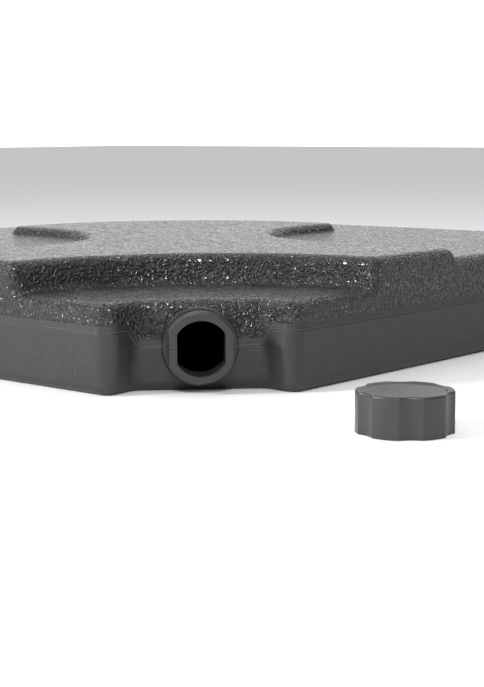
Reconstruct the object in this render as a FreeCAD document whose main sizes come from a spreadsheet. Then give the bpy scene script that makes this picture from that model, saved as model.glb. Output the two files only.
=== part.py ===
import FreeCAD, Part
import math
import os

import Sketcher
from FreeCAD import Placement, Rotation, Vector

# Fillable parasol base plate: a square blow-moulded tank with one corner cut off for the filler,
# and the screw cap and its sealing washer, which stand on the ground beside the open filler.
# Millimetres, +Z up, origin on the ground at the centre of the plate's square.
# The filler corner is at +X -Y. The "missing corner" is where the square's own corner would be.

SIZES = {
    # the plate
    "side": 480.0,  # square side at the parting line
    "corner_cut": 81.5,  # leg of the cut filler corner
    "post_round": 10.0,  # the two upright corners of the cut
    "corner_round": 45.0,  # the two corners next to the cut one
    "inner_round": 240.0,  # the corner across from the cut one
    "plate_tall": 73.0,
    "parting_up": 36.75,  # parting line above the ground
    "upper_draft": 3.0,  # degrees
    "lower_draft": 2.0,  # degrees
    "wall": 3.0,
    "edge_round": 6.0,
    # the low shelf over the filler: a circle round the missing corner
    "shelf_up": 53.5,
    "shelf_reach": 153.0,
    "shelf_draft": 8.0,  # degrees
    # the low bays on two sides, joined by the low ledge along the two far sides
    "bay_up": 66.8,
    "bay_from": 243.0,  # from the missing corner to the bay's near edge
    "bay_deep": 219.0,
    "bay_draft": 20.0,  # degrees
    "bay_round": 125.0,
    "bay_foot_round": 2.0,
    "plateau_reach": 410.0,  # from the missing corner to the far ledge
    "plateau_round": 178.0,
    "plateau_tip_round": 8.0,
    # the filler recess in the cut corner, between two posts
    "recess_mouth": 96.0,
    "recess_floor": 73.0,
    "recess_deep": 13.4,
    "recess_draft_up": 4.0,  # degrees
    "recess_draft_down": 6.0,  # degrees
    "recess_round": 8.0,
    # stiffening wells in the underside, on a square grid
    "well_radius": 24.0,
    "well_tall": 38.0,
    "well_draft": 14.0,  # degrees
    "well_spacing": 145.0,
    # the filler neck
    "neck_up": 26.9,
    "neck_radius": 20.0,
    "neck_flat": 18.3,  # half width over the two flats at the parting line
    "neck_out": 2.0,  # proud of the cut corner's face
    "root_radius": 21.7,
    "root_tall": 1.0,
    "bore_radius": 16.2,
    "bore_flat": 13.8,  # half width between the two flats
    # the thread on the neck and in the cap
    "thread_pitch": 4.0,
    "thread_deep": 1.2,
    "thread_base": 2.4,
    "thread_crest": 1.0,
    "thread_lead": 2.2,  # from the end to the middle of the first turn
    "thread_run": 7.0,
    "thread_gap": 0.35,  # radial room between the two threads
    # the screw cap and its washer
    "cap_radius": 25.0,
    "cap_tall": 21.5,
    "cap_top": 4.5,
    "cap_rim": 3.6,
    "cap_dish": 0.9,
    "cap_edge_round": 1.4,
    "cap_mouth_chamfer": 0.7,
    "flute_radius": 15.0,
    "flute_deep": 1.9,
    "flute_edge_round": 1.8,
    "flute_count": 6,
    "washer_thick": 3.0,
    "washer_bore": 13.5,
    "washer_gap": 0.2,
    "cap_x": 346.2,
    "cap_y": -210.9,
    "cap_turn": 11.0,  # degrees
}
CLEAR = 15  # how far a cut starts outside the face it cuts
CUT_TURN = 45  # degrees, from the plate's sides to the cut corner's face

doc = FreeCAD.newDocument("parasol_base")
sizes = doc.addObject("Spreadsheet::Sheet", "sizes")
for row, (name, value) in enumerate(SIZES.items(), 1):
    sizes.set(f"A{row}", name)
    sizes.set(f"B{row}", str(value))
    sizes.setAlias(f"B{row}", name)
doc.recompute()


# ---- helpers: what the modelling below is written in ----


def bind(thing, **expressions):
    """Tie properties to the sheet. A double underscore in a name stands for a dot."""
    for name, expression in expressions.items():
        thing.setExpression(name.replace("__", "."), expression)


def new_sketch(body, name, plane="XY_Plane", lift="0", turn=0):
    """A sketch on one of the body's own planes, lifted along the plane's normal and turned about it."""
    sketch = body.newObject("Sketcher::SketchObject", name)
    origin = [f for f in body.Origin.OriginFeatures if f.Role == plane][0]
    sketch.AttachmentSupport = (origin, "")
    sketch.MapMode = "FlatFace"
    sketch.AttachmentOffset = Placement(Vector(), Rotation(Vector(0, 0, 1), turn))
    bind(sketch, AttachmentOffset__Base__z=lift)
    return sketch


def fix(sketch, kind, geometry, point, expression):
    """A point's distance from the sketch's origin, driven by an expression."""
    start = sketch.getPoint(geometry, point)
    value = start.x if kind == "DistanceX" else start.y
    number = sketch.addConstraint(Sketcher.Constraint(kind, geometry, point, value))
    sketch.setExpression(f"Constraints[{number}]", expression)


def fix_radius(sketch, geometry, expression):
    radius = sketch.Geometry[geometry].Radius
    number = sketch.addConstraint(Sketcher.Constraint("Radius", geometry, radius))
    sketch.setExpression(f"Constraints[{number}]", expression)


def polygon(sketch, corners, rounds=None):
    """A closed outline. corners are pairs of expressions; rounds maps a corner's number to its radius."""
    count = len(corners)
    ring = [Vector(100 * math.cos(a), 100 * math.sin(a))
            for a in (2 * math.pi * k / count for k in range(count))]
    lines = [sketch.addGeometry(Part.LineSegment(ring[k], ring[(k + 1) % count]), False)
             for k in range(count)]
    for k in range(count):
        following = lines[(k + 1) % count]
        sketch.addConstraint(Sketcher.Constraint("Coincident", lines[k], 2, following, 1))
    for line, (x, y) in zip(lines, corners):
        fix(sketch, "DistanceX", line, 1, x)
        fix(sketch, "DistanceY", line, 1, y)
    doc.recompute()
    for corner, radius in (rounds or {}).items():
        sketch.fillet(lines[corner], 1, 1.0, True, True)
        arcs = [k for k, g in enumerate(sketch.Geometry) if isinstance(g, Part.ArcOfCircle)]
        fix_radius(sketch, arcs[-1], radius)
    doc.recompute()


def circle(sketch, radius, x="0", y="0"):
    ring = sketch.addGeometry(Part.Circle(Vector(1, 1), Vector(0, 0, 1), 5), False)
    fix(sketch, "DistanceX", ring, 3, x)
    fix(sketch, "DistanceY", ring, 3, y)
    fix_radius(sketch, ring, radius)


def pad(body, sketch, name, length, taper="0", down=False):
    feature = body.newObject("PartDesign::Pad", name)
    feature.Profile = sketch
    feature.Reversed = down
    bind(feature, Length=length, TaperAngle=taper)
    doc.recompute()
    return feature


def pocket(body, sketch, name, length, taper="0", up=False):
    """A cut, which has to take material away."""
    before = body.Shape.Volume
    feature = body.newObject("PartDesign::Pocket", name)
    feature.Profile = sketch
    feature.Reversed = up
    bind(feature, Length=length, TaperAngle=taper)
    doc.recompute()
    if not feature.Shape.Volume < before - 1:
        raise RuntimeError(f"{name} cuts nothing")
    return feature


def blend(body, name, size, wanted, kind="PartDesign::Fillet"):
    """Round or chamfer the edges of the body for which wanted(edge) holds."""
    base = body.Tip
    names = [f"Edge{k}" for k, edge in enumerate(base.Shape.Edges, 1) if wanted(edge)]
    if not names:
        raise RuntimeError(f"{name} found no edge")
    feature = body.newObject(kind, name)
    feature.Base = (base, names)
    bind(feature, **{"Radius" if kind.endswith("Fillet") else "Size": size})
    doc.recompute()
    if "Invalid" in feature.State:
        raise RuntimeError(f"{name} failed on {len(names)} edges")
    return feature


def along(edge, count=5):
    """Points spread along an edge."""
    first, last = edge.ParameterRange
    return [edge.valueAt(first + (last - first) * (k + 0.5) / count) for k in range(count)]


def level(edge, height):
    return all(abs(p.z - height) < 0.01 for p in along(edge))


def helix(body, name, inner, outer, start, up=True):
    """A ridge of the thread's section, wound about the body's Z axis. Its root is at the first radius."""
    section = new_sketch(body, f"{name}_section", plane="XZ_Plane")
    base, crest = "sizes.thread_base / 2", "sizes.thread_crest / 2"
    polygon(
        section,
        [(inner, f"{start} - {base}"), (outer, f"{start} - {crest}"),
         (outer, f"{start} + {crest}"), (inner, f"{start} + {base}")],
    )
    feature = body.newObject("PartDesign::AdditiveHelix", name)
    feature.Profile = section
    feature.ReferenceAxis = (section, ["V_Axis"])
    feature.Mode = "pitch-height-angle"
    bind(feature, Pitch="sizes.thread_pitch", Height="sizes.thread_run")
    feature.Reversed = not up
    doc.recompute()
    return feature


def checked(thing):
    shape = thing.Shape
    print(thing.Label, "valid", shape.isValid(), "solids", len(shape.Solids), "faces", len(shape.Faces),
          "volume", round(shape.Volume))
    return thing


# ---- the tank's outer form, and the same form one wall further in ----


def moulding(name, inset):
    """The tank's outer form. With the name of an inset, the hollow inside it."""
    less = f" - sizes.{inset}" if inset else ""
    more = f" + sizes.{inset}" if inset else ""
    body = doc.addObject("PartDesign::Body", name)

    # the two halves, drafted away from the parting line
    right, left = f"sizes.side / 2{less}", f"-sizes.side / 2{more}"
    shift = f" * (sqrt(2) - 1)" if inset else ""
    cut_x = f"sizes.side / 2 - sizes.corner_cut{more}{shift}"
    cut_y = f"-sizes.side / 2 + sizes.corner_cut{less}{shift}"
    outline = new_sketch(body, f"{name}_outline", lift="sizes.parting_up")
    polygon(
        outline,
        [(left, left), (cut_x, left), (right, cut_y), (right, right), (left, right)],
        {1: f"sizes.post_round{less}", 2: f"sizes.post_round{less}", 3: f"sizes.corner_round{less}",
         4: f"sizes.inner_round{less}", 0: f"sizes.corner_round{less}"},
    )
    pad(body, outline, f"{name}_upper", f"sizes.plate_tall - sizes.parting_up{less}",
        "-sizes.upper_draft")
    pad(body, outline, f"{name}_lower", f"sizes.parting_up{less}", "-sizes.lower_draft", down=True)

    # the shelf round the missing corner
    shelf = new_sketch(body, f"{name}_shelf_outline", lift=f"sizes.shelf_up{less}")
    circle(shelf, f"sizes.shelf_reach{more}", "sizes.side / 2", "-sizes.side / 2")
    pocket(body, shelf, f"{name}_shelf", "(sizes.plate_tall - sizes.shelf_up) * 1.1",
           "sizes.shelf_draft", up=True)

    # the bays and the far ledge, which leave the plateau standing. It mirrors about the diagonal.
    deep = f"(sizes.side / 2 - sizes.bay_deep{less})"
    near = f"(-sizes.side / 2 + sizes.bay_from{less})"
    far = f"(-sizes.side / 2 + sizes.plateau_reach{less})"
    out = "sizes.side"
    bays = new_sketch(body, f"{name}_bay_outline", lift=f"sizes.bay_up{less}")
    polygon(
        bays,
        [(out, near), (deep, near), (deep, far), (f"-{far}", far), (f"-{far}", f"-{deep}"),
         (f"-{near}", f"-{deep}"), (f"-{near}", f"-{out}"), (f"-{out}", f"-{out}"),
         (f"-{out}", out), (out, out)],
        {1: f"sizes.bay_round{more}", 2: f"sizes.plateau_tip_round{less}",
         3: f"sizes.plateau_round{less}", 4: f"sizes.plateau_tip_round{less}",
         5: f"sizes.bay_round{more}"},
    )
    pocket(body, bays, f"{name}_bays", "(sizes.plate_tall - sizes.bay_up) * 1.1",
           "sizes.bay_draft", up=True)

    # the filler recess, drafted away from the parting line where it dips to the neck's axis
    lean = "((sizes.recess_mouth - sizes.recess_floor) / 2 / sizes.recess_deep)"
    face = "(sizes.side - sizes.corner_cut) / sqrt(2)"
    spread = f"{more} * sqrt(1 + {lean} ^ 2)" if inset else ""
    back = f"(sizes.recess_floor / 2{spread}" + (f"{less} * {lean})" if inset else ")")
    front = f"(sizes.recess_floor / 2{spread} + (sizes.recess_deep + {CLEAR}) * {lean})"
    recess = new_sketch(body, f"{name}_recess_outline", lift="sizes.neck_up", turn=CUT_TURN)
    polygon(
        recess,
        [(f"-{front}", f"-{face} - {CLEAR}"), (front, f"-{face} - {CLEAR}"),
         (back, f"-{face} + sizes.recess_deep{more}"),
         (f"-{back}", f"-{face} + sizes.recess_deep{more}")],
        {2: f"sizes.recess_round{more}", 3: f"sizes.recess_round{more}"},
    )
    pocket(body, recess, f"{name}_recess_above", "sizes.plate_tall", "sizes.recess_draft_up", up=True)
    pocket(body, recess, f"{name}_recess_below", "sizes.neck_up", "sizes.recess_draft_down")

    # the wells, but none in the middle, behind the filler or in the inner corner
    wells = new_sketch(body, f"{name}_well_outline", lift=f"0{more}")
    for column in (-1, 0, 1):
        for line in (-1, 0, 1):
            if (column, line) not in ((0, 0), (1, -1), (-1, 1)):
                circle(wells, f"sizes.well_radius{more}",
                       f"{column} * sizes.well_spacing", f"{line} * sizes.well_spacing")
    pocket(body, wells, f"{name}_wells", "sizes.well_tall", "-sizes.well_draft", up=True)

    return body


def round_edges(body):
    """Round the tank's outer edges: all of one radius where the form is convex, less at the feet."""
    half, tall = SIZES["side"] / 2, SIZES["plate_tall"]
    reach, mouth = SIZES["shelf_reach"], SIZES["recess_mouth"] / 2
    leaning = tall * math.tan(math.radians(max(SIZES["upper_draft"], SIZES["shelf_draft"])))
    across = Vector(1, 1, 0).normalize()

    def from_corner(p):
        return math.hypot(p.x - half, p.y + half)

    def on_rim(p):
        """On the plate's own outline, and not on the plateau's."""
        x, y = abs(p.x), abs(p.y)
        inner = half - SIZES["inner_round"]
        if p.x < -inner and p.y > inner:
            return math.hypot(p.x + inner, p.y - inner) > SIZES["inner_round"] - leaning / 2
        return max(x, y) > half - leaning / 2 or min(x, y) > half - SIZES["corner_round"]

    def rim(edge, height):
        return level(edge, height) and all(on_rim(p) for p in along(edge))

    def shelf_wall(p):
        return reach - 0.5 < from_corner(p) < reach + leaning

    def upright(edge):
        return edge.BoundBox.ZLength > SIZES["recess_round"]

    def convex(edge):
        points = along(edge)
        return (
            level(edge, 0)
            or level(edge, tall)
            or rim(edge, SIZES["bay_up"])
            or level(edge, SIZES["shelf_up"])
            or upright(edge) and all(shelf_wall(p) for p in points)
            or upright(edge) and all(
                abs(abs(p.dot(across)) - mouth) < leaning / 2 and from_corner(p) < mouth * 2 for p in points)
        )

    blend(body, "edges", "sizes.edge_round", convex)
    blend(body, "bay_foot", "sizes.bay_foot_round",
          lambda edge: level(edge, SIZES["bay_up"]) and edge.Length > SIZES["edge_round"]
          and not any(on_rim(p) for p in along(edge)))


def flatted_rod(name, radius, flat, start, end):
    """A rod along its own Z with a flat on each side, standing square on the cut corner's face."""
    body = doc.addObject("PartDesign::Body", name)
    disc = new_sketch(body, f"{name}_outline", lift=end)
    circle(disc, radius)
    pad(body, disc, f"{name}_rod", f"{end} - ({start})", down=True)
    body.Placement = Placement(Vector(), Rotation(Vector(0, 0, 1), CUT_TURN)
                               .multiply(Rotation(Vector(1, 0, 0), 90)))
    bind(body, Placement__Base__x="(sizes.side - sizes.corner_cut) / 2",
         Placement__Base__y="-(sizes.side - sizes.corner_cut) / 2",
         Placement__Base__z="sizes.neck_up")
    return body


def cut_flats(body, name, flat, radius, start, end):
    flats = new_sketch(body, f"{name}_flat_outline", lift=end)
    for side in ("", "-"):
        polygon(flats, [(f"{side}{flat}", f"-{radius} - 5"), (f"{side}({flat} + 9)", f"-{radius} - 5"),
                        (f"{side}({flat} + 9)", f"{radius} + 5"), (f"{side}{flat}", f"{radius} + 5")])
    pocket(body, flats, f"{name}_flats", f"{end} - ({start})")


# ---- the tank ----

tank_outer = moulding("tank_outer", None)
round_edges(tank_outer)
checked(tank_outer)
tank_inner = moulding("tank_inner", "wall")
checked(tank_inner)

neck_start = "-sizes.recess_deep - 2 * sizes.wall"
neck = flatted_rod("neck", "sizes.neck_radius", "sizes.neck_flat", neck_start, "sizes.neck_out")
helix(neck, "neck_thread", "sizes.neck_radius - 0.2", "sizes.neck_radius + sizes.thread_deep",
      "sizes.neck_out - sizes.thread_lead - sizes.thread_run")
cut_flats(neck, "neck", "sizes.neck_flat", "sizes.neck_radius", neck_start, "sizes.neck_out")
root = new_sketch(neck, "neck_root_outline", lift="-sizes.recess_deep + sizes.root_tall")
circle(root, "sizes.root_radius")
pad(neck, root, "neck_root", "sizes.root_tall + sizes.wall", "30", down=True)
checked(neck)

bore = flatted_rod("bore", "sizes.bore_radius", "sizes.bore_flat", f"{neck_start} * 2", "sizes.neck_out + 5")
cut_flats(bore, "bore", "sizes.bore_flat", "sizes.bore_radius", f"{neck_start} * 2", "sizes.neck_out + 5")
checked(bore)


def combined(kind, name, base, tool):
    thing = doc.addObject(kind, name)
    thing.Base, thing.Tool = base, tool
    doc.recompute()
    return thing


moulded = combined("Part::Fuse", "moulded", tank_outer, neck)
bored = combined("Part::Cut", "bored", moulded, bore)
tank = combined("Part::Cut", "hollow_tank", bored, tank_inner)
tank.Label = "tank"
checked(tank)

# ---- the cap ----

cap = doc.addObject("PartDesign::Body", "cap")
cap.Label = "filler_cap"
blank = new_sketch(cap, "cap_outline")
circle(blank, "sizes.cap_radius")
pad(cap, blank, "cap_blank", "sizes.cap_tall")
flute = new_sketch(cap, "flute_outline")
circle(flute, "sizes.flute_radius", "sizes.cap_radius - sizes.flute_deep + sizes.flute_radius")
first_flute = pocket(cap, flute, "first_flute", "sizes.cap_tall", up=True)
flutes = cap.newObject("PartDesign::PolarPattern", "flutes")
flutes.Originals = [first_flute]
flutes.Axis = (flute, ["N_Axis"])
flutes.Angle = 360
bind(flutes, Occurrences="sizes.flute_count")
cap.Tip = flutes
doc.recompute()
blend(cap, "flute_edges", "sizes.flute_edge_round",
      lambda edge: edge.BoundBox.ZLength > SIZES["cap_tall"] - 0.1)
blend(cap, "cap_top_edge", "sizes.cap_edge_round", lambda edge: level(edge, SIZES["cap_tall"]))
dish = new_sketch(cap, "dish_outline", lift="sizes.cap_tall")
circle(dish, "sizes.cap_radius - sizes.cap_rim")
pocket(cap, dish, "cap_dish", "sizes.cap_dish", "-55")
hollow = new_sketch(cap, "cap_hollow_outline")
cap_bore = "(sizes.neck_radius + sizes.thread_deep + sizes.thread_gap)"
circle(hollow, cap_bore)
pocket(cap, hollow, "cap_hollow", "sizes.cap_tall - sizes.cap_top", up=True)
bore_radius = SIZES["neck_radius"] + SIZES["thread_deep"] + SIZES["thread_gap"]
blend(cap, "cap_mouth", "sizes.cap_mouth_chamfer",
      lambda edge: level(edge, 0) and all(abs(math.hypot(p.x, p.y) - bore_radius) < 0.05 for p in along(edge)),
      kind="PartDesign::Chamfer")
helix(cap, "cap_thread", f"{cap_bore} + 0.2", f"{cap_bore} - sizes.thread_deep", "sizes.thread_lead")
checked(cap)

washer = doc.addObject("PartDesign::Body", "washer")
washer.Label = "cap_washer"
washer_top = "sizes.cap_tall - sizes.cap_top"
disc = new_sketch(washer, "washer_outline", lift=washer_top)
circle(disc, f"{cap_bore} - sizes.washer_gap")
pad(washer, disc, "washer_disc", "sizes.washer_thick", down=True)
hole = new_sketch(washer, "washer_hole_outline", lift=washer_top)
circle(hole, "sizes.washer_bore")
pocket(washer, hole, "washer_hole", "sizes.washer_thick")
checked(washer)

for piece in (cap, washer):
    piece.Placement = Placement(Vector(), Rotation(Vector(0, 0, 1), SIZES["cap_turn"]))
    bind(piece, Placement__Base__x="sizes.cap_x", Placement__Base__y="sizes.cap_y")
doc.recompute()

# ---- checks and files ----

for thing in doc.Objects:
    if "Invalid" in thing.State or "Error" in thing.State:
        raise RuntimeError(f"{thing.Name} is {thing.State}")
os.makedirs("parts", exist_ok=True)
for piece in (tank, cap, washer):
    if piece.Shape.isNull() or not piece.Shape.isValid():
        raise RuntimeError(f"{piece.Label} has no valid shape")
    piece.Shape.exportStep(f"parts/{piece.Label}.step")
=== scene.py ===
"""Looks for the fillable parasol base plate and the screw cap that stands beside its open filler."""

import math

import bpy
from mathutils import Matrix, Vector
from mathutils.bvhtree import BVHTree


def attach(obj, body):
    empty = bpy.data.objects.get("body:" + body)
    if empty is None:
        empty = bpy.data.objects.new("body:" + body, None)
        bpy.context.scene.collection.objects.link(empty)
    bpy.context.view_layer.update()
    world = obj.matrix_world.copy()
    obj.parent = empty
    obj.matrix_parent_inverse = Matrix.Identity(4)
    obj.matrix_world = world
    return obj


MM = 0.001

# Places on the plate, in metres. The filler is in the cut corner at +X -Y.
CUT_MIDDLE = Vector((0.19925, -0.19925, 0.0))
CUT_OUTWARD = Vector((1, -1, 0)).normalized()
CUT_ALONG = Vector((1, 1, 0)).normalized()
SIDE = 0.480
CORNER_CUT = 0.0815
POST_ROUND = 0.010
CORNER_ROUND = 0.045
INNER_ROUND = 0.240
PARTING_UP = 0.03675
NECK_UP = 0.0269
DIP_FROM = 0.0355  # half widths between which the parting line drops to the neck
DIP_TO = 0.0425
SMOOTH_BAND = 0.0042  # ungrained strip above the parting line
NECK_BARE = 0.0224  # no grain within this of the neck's axis
BARE_DEPTH = 0.018  # and no further in than this from the cut corner's face
RECESS_FROM = 0.0190  # where the parting line leaves the neck's root, from the neck's axis
RECESS_TO = 0.0525  # where it meets the cut corner's rounded post
NECK_ROOT = -0.0126  # the neck's flats, along its axis from the cut corner's face
NECK_END = 0.0016
FLASH_THICK = 0.00030


# ---- node helpers ----


class Shading:
    """Writes nodes into a tree. Inputs given as sockets are linked, and others are set as values."""

    def __init__(self, tree):
        self.tree = tree

    def node(self, kind, settings=None, **inputs):
        made = self.tree.nodes.new(kind)
        for name, value in (settings or {}).items():
            setattr(made, name, value)
        for name, value in inputs.items():
            key = int(name[1:]) if name[0] == "_" else name.replace("_", " ")
            self.feed(made.inputs[key], value)
        return made

    def feed(self, socket, value):
        if isinstance(value, bpy.types.NodeSocket):
            self.tree.links.new(value, socket)
        else:
            socket.default_value = value

    def math(self, operation, *values, clamp=False):
        made = self.node("ShaderNodeMath", {"operation": operation, "use_clamp": clamp})
        for socket, value in zip(made.inputs, values):
            self.feed(socket, value)
        return made.outputs[0]

    def vector(self, operation, *values):
        made = self.node("ShaderNodeVectorMath", {"operation": operation})
        for socket, value in zip(made.inputs, values):
            self.feed(socket, value)
        return made.outputs["Value" if operation in ("DOT_PRODUCT", "LENGTH") else "Vector"]

    def step(self, value, low, high):
        """A smooth rise from 0 to 1 as the value goes from low to high."""
        made = self.node("ShaderNodeMapRange", {"interpolation_type": "SMOOTHSTEP"}, Value=value)
        self.feed(made.inputs["From Min"], low)
        self.feed(made.inputs["From Max"], high)
        return made.outputs["Result"]

    def between(self, mask, low, high):
        """A number that goes from low to high with the mask."""
        made = self.node("ShaderNodeMix", {"data_type": "FLOAT"})
        self.feed(made.inputs[0], mask)
        self.feed(made.inputs[2], low)
        self.feed(made.inputs[3], high)
        return made.outputs[0]

    def tint(self, mask, low, high):
        """A colour that goes from low to high with the mask."""
        made = self.node("ShaderNodeMix", {"data_type": "RGBA"})
        self.feed(made.inputs[0], mask)
        self.feed(made.inputs[6], low)
        self.feed(made.inputs[7], high)
        return made.outputs[2]

    def noise(self, place, scale, detail=3.0, rough=0.5, output="Fac"):
        made = self.node("ShaderNodeTexNoise", Vector=place, Scale=scale, Detail=detail, Roughness=rough)
        return made.outputs[output]


def grey(level, warm=0.0):
    return (level * (1 + warm), level, level * (1 - warm), 1.0)


def effect(name, inputs, outputs):
    """A node group with named inputs and outputs, given back with its Shading, entry and exit."""
    tree = bpy.data.node_groups.new(name, "ShaderNodeTree")
    for label, kind, value in inputs:
        socket = tree.interface.new_socket(label, in_out="INPUT", socket_type=kind)
        if value is not None:
            socket.default_value = value
    for label, kind in outputs:
        tree.interface.new_socket(label, in_out="OUTPUT", socket_type=kind)
    shade = Shading(tree)
    return tree, shade, tree.nodes.new("NodeGroupInput").outputs, tree.nodes.new("NodeGroupOutput").inputs


FLOAT, VECTOR, COLOR = "NodeSocketFloat", "NodeSocketVector", "NodeSocketColor"


def pebble_grain():
    """Etched mould grain: worm-like pebbles with narrow valleys between them, over a gentle swell."""
    tree, s, given, out = effect(
        "pebble grain",
        [("Place", VECTOR, None), ("Pebble Size", FLOAT, 2.4 * MM), ("Worming", FLOAT, 0.55)],
        [("Height", FLOAT), ("Valley", FLOAT)])
    cells = s.math("DIVIDE", 1.0, given["Pebble Size"])
    place = s.vector("SCALE", given["Place"])
    s.feed(place.node.inputs["Scale"], cells)
    wander = s.vector("SUBTRACT", s.noise(place, 0.55, 2.0, output="Color"), (0.5, 0.5, 0.5))
    pushed = s.vector("SCALE", wander)
    s.feed(pushed.node.inputs["Scale"], s.math("MULTIPLY", given["Worming"], 2.4))
    bent = s.vector("ADD", place, pushed)
    edge = s.node("ShaderNodeTexVoronoi", {"feature": "DISTANCE_TO_EDGE"}, Vector=bent, Scale=1.0,
                  Randomness=1.0).outputs["Distance"]
    joined = s.math("ADD", edge, s.math("MULTIPLY", s.step(s.noise(place, 0.9, 1.0), 0.50, 0.72), 0.16))
    crown = s.step(joined, 0.02, 0.34)
    swell = s.noise(place, 0.45, 2.0)
    s.feed(out["Height"], s.math("ADD", s.math("MULTIPLY", crown, 0.85), s.math("MULTIPLY", swell, 0.5)))
    s.feed(out["Valley"], s.math("SUBTRACT", 1.0, s.step(joined, 0.0, 0.14)))
    return tree


def handling_marks():
    """Fine scratches, rubbed streaks and stray pale specks that plastic picks up when it is handled."""
    tree, s, given, out = effect(
        "handling marks",
        [("Place", VECTOR, None), ("Amount", FLOAT, 0.5), ("Run", VECTOR, (1.0, 1.0, 1.0))],
        [("Scratch", FLOAT), ("Rub", FLOAT), ("Speck", FLOAT)])
    stretched = s.vector("MULTIPLY", given["Place"], given["Run"])
    lines = s.noise(stretched, 620.0, 2.0, 0.6)
    patch = s.step(s.noise(given["Place"], 26.0, 2.0), 0.50, 0.66)
    scratch = s.math("MULTIPLY", s.step(lines, 0.66, 0.74), patch)
    rub = s.step(s.noise(stretched, 90.0, 4.0, 0.65), 0.48, 0.72)
    dots = s.node("ShaderNodeTexVoronoi", {"feature": "F1"}, Vector=given["Place"], Scale=105.0).outputs
    chosen = s.math("GREATER_THAN", s.node("ShaderNodeSeparateColor", Color=dots["Color"]).outputs[0], 0.90)
    speck = s.math("MULTIPLY", s.math("SUBTRACT", 1.0, s.step(dots["Distance"], 0.02, 0.055)), chosen)
    for label, value in (("Scratch", scratch), ("Rub", rub), ("Speck", speck)):
        s.feed(out[label], s.math("MULTIPLY", value, given["Amount"]))
    return tree


def moulded_skin():
    """The slight waviness and mottled sheen of plastic that cooled against a mould."""
    tree, s, given, out = effect(
        "moulded skin",
        [("Place", VECTOR, None), ("Ripple Size", FLOAT, 14 * MM)],
        [("Wave", FLOAT), ("Mottle", FLOAT), ("Tooth", FLOAT)])
    s.feed(out["Wave"], s.noise(given["Place"], s.math("DIVIDE", 1.0, given["Ripple Size"]), 1.0, 0.4))
    s.feed(out["Mottle"], s.noise(given["Place"], 55.0, 5.0, 0.62))
    s.feed(out["Tooth"], s.noise(given["Place"], 2600.0, 2.0, 0.5))
    return tree


def dust_and_sheen_film():
    """A thin pale film on faces that look up, thicker in hollows of the grain: settled dust, and also a
    painted reflection that makes upward faces paler.
    """
    tree, s, given, out = effect(
        "dust and sheen film",
        [("Place", VECTOR, None), ("Hollow", FLOAT, 0.0), ("Amount", FLOAT, 0.3)],
        [("Dust And Sheen", FLOAT)])
    facing = s.node("ShaderNodeNewGeometry").outputs["True Normal"]
    up = s.node("ShaderNodeSeparateXYZ", _0=facing).outputs["Z"]
    patchy = s.step(s.noise(given["Place"], 38.0, 4.0, 0.6), 0.3, 0.75)
    # faces that look up get the pale film: dust, and a painted reflection of the bright surroundings
    film = s.math("MULTIPLY", s.step(up, 0.35, 0.95), patchy)
    thick = s.math("ADD", 0.45, s.math("MULTIPLY", given["Hollow"], 0.9))
    s.feed(out["Dust And Sheen"], s.math("MULTIPLY", s.math("MULTIPLY", film, thick), given["Amount"]))
    return tree


def put(s, group, **inputs):
    made = s.node("ShaderNodeGroup", {"node_tree": group})
    for name, value in inputs.items():
        s.feed(made.inputs[name.replace("_", " ")], value)
    return made.outputs


def material(name):
    made = bpy.data.materials.new(name)
    made.use_nodes = True
    made.node_tree.nodes.clear()
    s = Shading(made.node_tree)
    skin = s.node("ShaderNodeBsdfPrincipled")
    s.feed(s.node("ShaderNodeOutputMaterial").inputs["Surface"], skin.outputs["BSDF"])
    return made, s, skin


# ---- finishes ----


def parting_height(s, place):
    """How high the mould parting line runs at each place, and how near the filler recess that is."""
    along = s.math("ABSOLUTE", s.vector("DOT_PRODUCT", place, tuple(CUT_ALONG)))
    out = s.math("SUBTRACT", s.vector("DOT_PRODUCT", place, tuple(CUT_OUTWARD)), CUT_MIDDLE.length)
    here = s.step(out, -0.040, -0.030)
    level = s.between(s.step(along, DIP_FROM, DIP_TO), NECK_UP, PARTING_UP)
    return s.between(here, PARTING_UP, level), along, out


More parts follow.
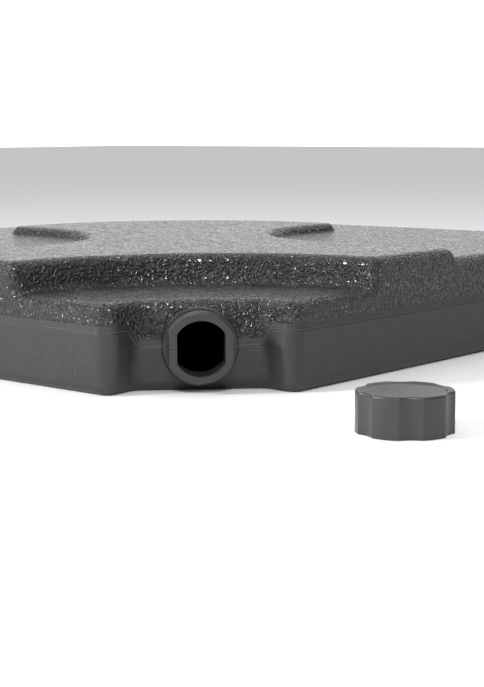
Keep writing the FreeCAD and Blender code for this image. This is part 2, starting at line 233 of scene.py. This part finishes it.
def tank_plastic(groups):
    """Black polyethylene, pebbled on the upper half of the moulding and satin below its parting line."""
    made, s, skin = material("tank plastic")
    place = s.node("ShaderNodeTexCoord").outputs["Object"]
    up = s.node("ShaderNodeSeparateXYZ", _0=place).outputs["Z"]
    parting, along, out = parting_height(s, place)
    above = s.math("SUBTRACT", up, parting)

    # grain starts in a soft edge above the smooth band, and leaves the neck bare
    ragged = s.math("MULTIPLY", s.math("SUBTRACT", s.noise(place, 420.0, 1.0), 0.5), 1.6 * MM)
    upper = s.step(s.math("ADD", above, ragged), SMOOTH_BAND - 0.7 * MM, SMOOTH_BAND + 0.7 * MM)
    from_axis = s.math("SQRT", s.math("ADD", s.math("POWER", along, 2.0), s.math(
        "POWER", s.math("SUBTRACT", up, NECK_UP), 2.0)))
    on_neck = s.math("MULTIPLY", s.math("LESS_THAN", from_axis, NECK_BARE), s.math(
        "GREATER_THAN", out, -BARE_DEPTH))
    grained = s.math("MULTIPLY", upper, s.math("SUBTRACT", 1.0, on_neck))

    pebble = put(s, groups["pebble grain"], Place=place, Pebble_Size=3.2 * MM, Worming=0.55)
    moulded = put(s, groups["moulded skin"], Place=place, Ripple_Size=17 * MM)
    marks = put(s, groups["handling marks"], Place=place, Amount=0.55, Run=(0.5, 0.5, 2.6))
    dust_and_sheen = put(s, groups["dust and sheen film"], Place=place, Hollow=pebble["Valley"], Amount=0.22)["Dust And Sheen"]
    bare = s.math("SUBTRACT", 1.0, grained)
    from_groove = s.math("ABSOLUTE", s.math("ADD", above, 0.55 * MM))
    groove = s.math("SUBTRACT", 1.0, s.step(from_groove, 0.1 * MM, 0.55 * MM))

    colour = s.tint(moulded["Mottle"], grey(0.016), grey(0.026, -0.01))
    # painted shade: the valleys of the grain are painted darker
    valley_shade = s.math("MULTIPLY", pebble["Valley"], s.math("MULTIPLY", grained, 0.6))
    colour = s.tint(valley_shade, colour, grey(0.009))
    # painted shade: the groove just under the parting line is painted near black, as well as sunk in the
    # bump below
    colour = s.tint(s.math("MULTIPLY", groove, 0.85), colour, grey(0.006))
    colour = s.tint(s.math("MULTIPLY", s.math("ADD", marks["Scratch"], marks["Speck"]), s.math(
        "MULTIPLY", bare, 0.8)), colour, grey(0.26))
    # pale film of dust, plus a painted reflection that makes faces that look up paler and warmer
    colour = s.tint(dust_and_sheen, colour, grey(0.17, 0.06))
    s.feed(skin.inputs["Base Color"], colour)

    satin = s.between(moulded["Mottle"], 0.40, 0.54)
    satin = s.math("ADD", satin, s.math("MULTIPLY", marks["Rub"], 0.12))
    glossy = s.between(pebble["Valley"], 0.20, 0.60)
    rough = s.math("ADD", s.between(grained, satin, glossy), s.math("MULTIPLY", dust_and_sheen, 0.3))
    s.feed(skin.inputs["Roughness"], rough)
    skin.inputs["IOR"].default_value = 1.52

    relief = s.math("MULTIPLY", pebble["Height"], s.math("MULTIPLY", grained, 0.95 * MM))
    relief = s.math("ADD", relief, s.math("MULTIPLY", moulded["Wave"], 0.55 * MM))
    relief = s.math("ADD", relief, s.math("MULTIPLY", moulded["Tooth"], 0.012 * MM))
    scratched = s.math("MULTIPLY", marks["Scratch"], bare)
    relief = s.math("SUBTRACT", relief, s.math("MULTIPLY", scratched, 0.05 * MM))
    relief = s.math("SUBTRACT", relief, s.math("MULTIPLY", groove, 0.20 * MM))
    bump = s.node("ShaderNodeBump", Height=relief, Strength=1.0, Distance=1.0)
    s.feed(skin.inputs["Normal"], bump.outputs["Normal"])
    return made


def cap_plastic(groups):
    """The harder satin plastic of the screw cap, a little rubbed on its grip."""
    made, s, skin = material("cap plastic")
    place = s.node("ShaderNodeTexCoord").outputs["Object"]
    moulded = put(s, groups["moulded skin"], Place=place, Ripple_Size=9 * MM)
    marks = put(s, groups["handling marks"], Place=place, Amount=0.6, Run=(2.2, 2.2, 0.6))
    dust_and_sheen = put(s, groups["dust and sheen film"], Place=place, Hollow=0.2, Amount=0.14)["Dust And Sheen"]
    colour = s.tint(moulded["Mottle"], grey(0.026), grey(0.038, 0.01))
    worn = s.math("ADD", marks["Scratch"], marks["Speck"])
    colour = s.tint(s.math("MULTIPLY", worn, 0.45), colour, grey(0.25))
    # pale film of dust, plus a painted reflection that makes the cap's upward faces paler
    colour = s.tint(dust_and_sheen, colour, grey(0.22, 0.03))
    s.feed(skin.inputs["Base Color"], colour)
    s.feed(skin.inputs["Roughness"], s.math("ADD", s.between(moulded["Mottle"], 0.30, 0.42), s.math(
        "MULTIPLY", marks["Rub"], 0.14)))
    skin.inputs["IOR"].default_value = 1.50
    relief = s.math("ADD", s.math("MULTIPLY", moulded["Wave"], 0.12 * MM), s.math(
        "MULTIPLY", moulded["Tooth"], 0.014 * MM))
    relief = s.math("SUBTRACT", relief, s.math("MULTIPLY", marks["Scratch"], 0.04 * MM))
    bump = s.node("ShaderNodeBump", Height=relief, Strength=1.0, Distance=1.0)
    s.feed(skin.inputs["Normal"], bump.outputs["Normal"])
    return made


def washer_rubber(groups):
    """Matt black sheet rubber with a fine tooth."""
    made, s, skin = material("washer rubber")
    place = s.node("ShaderNodeTexCoord").outputs["Object"]
    moulded = put(s, groups["moulded skin"], Place=place, Ripple_Size=5 * MM)
    s.feed(skin.inputs["Base Color"], s.tint(moulded["Mottle"], grey(0.014), grey(0.026)))
    s.feed(skin.inputs["Roughness"], s.between(moulded["Mottle"], 0.72, 0.88))
    bump = s.node("ShaderNodeBump", Height=s.math("MULTIPLY", moulded["Tooth"], 0.03 * MM), Strength=1.0,
                  Distance=1.0)
    s.feed(skin.inputs["Normal"], bump.outputs["Normal"])
    return made


def flash_highlight_plastic(groups):
    """The trimmed flash on the parting line: the tank's plastic, rougher, and painted paler as a painted
    highlight along the line.
    """
    made, s, skin = material("flash plastic with painted highlight")
    place = s.node("ShaderNodeTexCoord").outputs["Object"]
    moulded = put(s, groups["moulded skin"], Place=place, Ripple_Size=6 * MM)
    marks = put(s, groups["handling marks"], Place=place, Amount=0.8, Run=(1.0, 1.0, 1.0))
    # painted highlight: the flash is painted paler than the tank's plastic; the rubbed streaks over it are
    # wear
    colour = s.tint(moulded["Mottle"], grey(0.038), grey(0.060))
    s.feed(skin.inputs["Base Color"], s.tint(marks["Rub"], colour, grey(0.085)))
    s.feed(skin.inputs["Roughness"], s.between(moulded["Mottle"], 0.38, 0.55))
    bump = s.node("ShaderNodeBump", Height=s.math("MULTIPLY", moulded["Mottle"], 0.08 * MM), Strength=1.0,
                  Distance=1.0)
    s.feed(skin.inputs["Normal"], bump.outputs["Normal"])
    return made


# ---- the parting line's flash ----


def rounded(corners, radii, step=2.5 * MM):
    """Points round a closed outline, with each corner rounded to its radius."""
    points = []
    count = len(corners)
    for k in range(count):
        here = corners[k]
        back = (corners[k - 1] - here).normalized()
        on = (corners[(k + 1) % count] - here).normalized()
        half = back.angle(on) / 2
        middle = here + (back + on).normalized() * (radii[k] / math.sin(half))
        first = here + back * (radii[k] / math.tan(half)) - middle
        turn = math.pi - 2 * half
        steps = max(6, int(radii[k] * turn / step))
        for j in range(steps + 1):
            angle = turn * j / steps
            points.append(middle + Vector((first.x * math.cos(angle) - first.y * math.sin(angle),
                                           first.x * math.sin(angle) + first.y * math.cos(angle), 0)))
    return points


def surface(node):
    mesh = node.data
    return BVHTree.FromPolygons([node.matrix_world @ v.co for v in mesh.vertices],
                                [tuple(p.vertices) for p in mesh.polygons])


def dip(along):
    """The parting line's height across the filler recess."""
    t = min(1.0, max(0.0, (abs(along) - DIP_FROM) / (DIP_TO - DIP_FROM)))
    return NECK_UP + (PARTING_UP - NECK_UP) * t * t * (3 - 2 * t)


def across_recess(tree, start, end, count):
    """Points on the recess's walls along the parting line, found by looking in from outside."""
    points = []
    for k in range(count + 1):
        along = start + (end - start) * k / count
        eye = CUT_MIDDLE + CUT_ALONG * along + CUT_OUTWARD * 0.05 + Vector((0, 0, dip(along)))
        hit = tree.ray_cast(eye, -CUT_OUTWARD, 0.10)[0]
        if hit:
            points.append(hit)
    return points


def along_neck(tree, side):
    """Points on one flat of the neck, from its root to its end."""
    points = []
    for k in range(13):
        out = NECK_ROOT + (NECK_END - NECK_ROOT) * k / 12
        eye = CUT_MIDDLE + CUT_ALONG * side * 0.030 + CUT_OUTWARD * out + Vector((0, 0, NECK_UP))
        hit = tree.ray_cast(eye, -CUT_ALONG * side, 0.02)[0]
        if hit:
            points.append(hit)
    return points


def bead(name, lines, thick):
    """Thin strands of plastic along open or closed lines of points."""
    curve = bpy.data.curves.new(name, "CURVE")
    curve.dimensions = "3D"
    curve.bevel_depth = thick
    curve.bevel_resolution = 2
    for points, closed in lines:
        spline = curve.splines.new("POLY")
        spline.points.add(len(points) - 1)
        for slot, point in zip(spline.points, points):
            slot.co = (*point, 1.0)
        spline.use_cyclic_u = closed
    made = bpy.data.objects.new(name, curve)
    bpy.context.scene.collection.objects.link(made)
    return made


def parting_flash(tank):
    tree = surface(tank)
    half = SIDE / 2
    places = ((half - CORNER_CUT, -half), (half, CORNER_CUT - half), (half, half), (-half, half),
              (-half, -half))
    corners = [Vector((x, y, PARTING_UP)) for x, y in places]
    outline = rounded(corners, [POST_ROUND, POST_ROUND, CORNER_ROUND, INNER_ROUND, CORNER_ROUND])
    # the outline runs from one side of the recess right round to the other
    start = [k for k, p in enumerate(outline) if (p - CUT_MIDDLE).dot(CUT_ALONG) > 0
             and (p - CUT_MIDDLE).dot(CUT_OUTWARD) > -1 * MM]
    turn = outline[start[0]:] + outline[:start[0]]
    right = across_recess(tree, RECESS_FROM, RECESS_TO, 70)
    left = across_recess(tree, -RECESS_TO, -RECESS_FROM, 70)
    lines = [(right + turn + left, False)]
    lines += [(along_neck(tree, side), False) for side in (1, -1)]
    return bead("parting_flash", lines, FLASH_THICK)


# ---- floor, light and camera ----


def pale_floor():
    made, s, skin = material("pale floor")
    place = s.node("ShaderNodeTexCoord").outputs["Object"]
    s.feed(skin.inputs["Base Color"], s.tint(s.noise(place, 6.0), grey(0.88), grey(0.92)))
    skin.inputs["Roughness"].default_value = 0.85
    skin.inputs["Specular IOR Level"].default_value = 0.2
    mesh = bpy.data.meshes.new("floor")
    mesh.from_pydata([(-9, -9, 0), (9, -9, 0), (9, 9, 0), (-9, 9, 0)], [], [(0, 1, 2, 3)])
    floor = bpy.data.objects.new("floor", mesh)
    floor.data.materials.append(made)
    bpy.context.scene.collection.objects.link(floor)


def soft_box(name, place, aim, size, power):
    lamp = bpy.data.lights.new(name, "AREA")
    lamp.shape = "RECTANGLE"
    lamp.size, lamp.size_y = size
    lamp.energy = power
    made = bpy.data.objects.new(name, lamp)
    made.location = place
    made.rotation_euler = (Vector(aim) - Vector(place)).to_track_quat("-Z", "Y").to_euler()
    bpy.context.scene.collection.objects.link(made)


def studio():
    """White surroundings: a bright sweep behind the plate, less light from the front and the right."""
    world = bpy.data.worlds.new("studio")
    bpy.context.scene.world = world
    world.use_nodes = True
    world.node_tree.nodes.clear()
    s = Shading(world.node_tree)
    way = s.node("ShaderNodeTexCoord").outputs["Generated"]
    behind = s.step(s.vector("DOT_PRODUCT", way, (-0.6468, 0.7627, 0.0)), 0.30, 0.98)
    left = s.vector("DOT_PRODUCT", way, (-0.7627, -0.6468, 0.25))
    brighter = s.math("ADD", s.math("MULTIPLY", behind, 1.1), s.math("MULTIPLY", left, 0.16))
    level = s.math("ADD", 0.40, brighter)
    sky = s.node("ShaderNodeBackground", Color=(1, 1, 1, 1), Strength=level)
    s.feed(s.node("ShaderNodeOutputWorld").inputs["Surface"], sky.outputs[0])
    soft_box("left light", (-0.55, -1.35, 0.62), (0.15, -0.2, 0.03), (0.30, 0.30), 20)
    soft_box("front light", (0.95, -1.05, 0.80), (0.19, -0.19, 0.04), (0.24, 0.24), 12)
    soft_box("top light", (0.2, 0.5, 1.7), (0.1, -0.1, 0.05), (1.6, 1.2), 8)


def camera():
    lens = bpy.data.cameras.new("camera")
    lens.lens = 78.48
    lens.sensor_width = 36.0
    made = bpy.data.objects.new("camera", lens)
    turn, down, lean = 0.7044, 0.1427, -0.0049
    back = Vector((math.sin(turn) * math.cos(down), -math.cos(turn) * math.cos(down), math.sin(down)))
    level = Vector((math.cos(turn), math.sin(turn), 0))
    upright = back.cross(level)
    right = level * math.cos(lean) + upright * math.sin(lean)
    up = upright * math.cos(lean) - level * math.sin(lean)
    made.rotation_euler = Matrix((right, up, back)).transposed().to_euler()
    made.location = (0.7612, -0.8248, 0.1506)
    bpy.context.scene.collection.objects.link(made)
    bpy.context.scene.camera = made


def dress(piece, finish):
    piece.data.materials.clear()
    piece.data.materials.append(finish)


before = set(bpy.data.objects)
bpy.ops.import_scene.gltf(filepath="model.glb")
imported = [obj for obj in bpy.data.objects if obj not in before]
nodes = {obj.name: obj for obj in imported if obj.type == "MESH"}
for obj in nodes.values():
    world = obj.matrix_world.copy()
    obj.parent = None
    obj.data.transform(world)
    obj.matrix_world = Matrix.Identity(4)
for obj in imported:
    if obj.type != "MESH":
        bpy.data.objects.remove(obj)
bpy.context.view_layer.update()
bpy.context.scene.view_settings.view_transform = "Standard"
camera()
pale_floor()
studio()

groups = {tree.name: tree for tree in (pebble_grain(), handling_marks(), moulded_skin(), dust_and_sheen_film())}
dress(nodes["tank"], tank_plastic(groups))
dress(nodes["filler_cap"], cap_plastic(groups))
dress(nodes["cap_washer"], washer_rubber(groups))

flash = parting_flash(nodes["tank"])
dress(flash, flash_highlight_plastic(groups))
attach(flash, "tank")
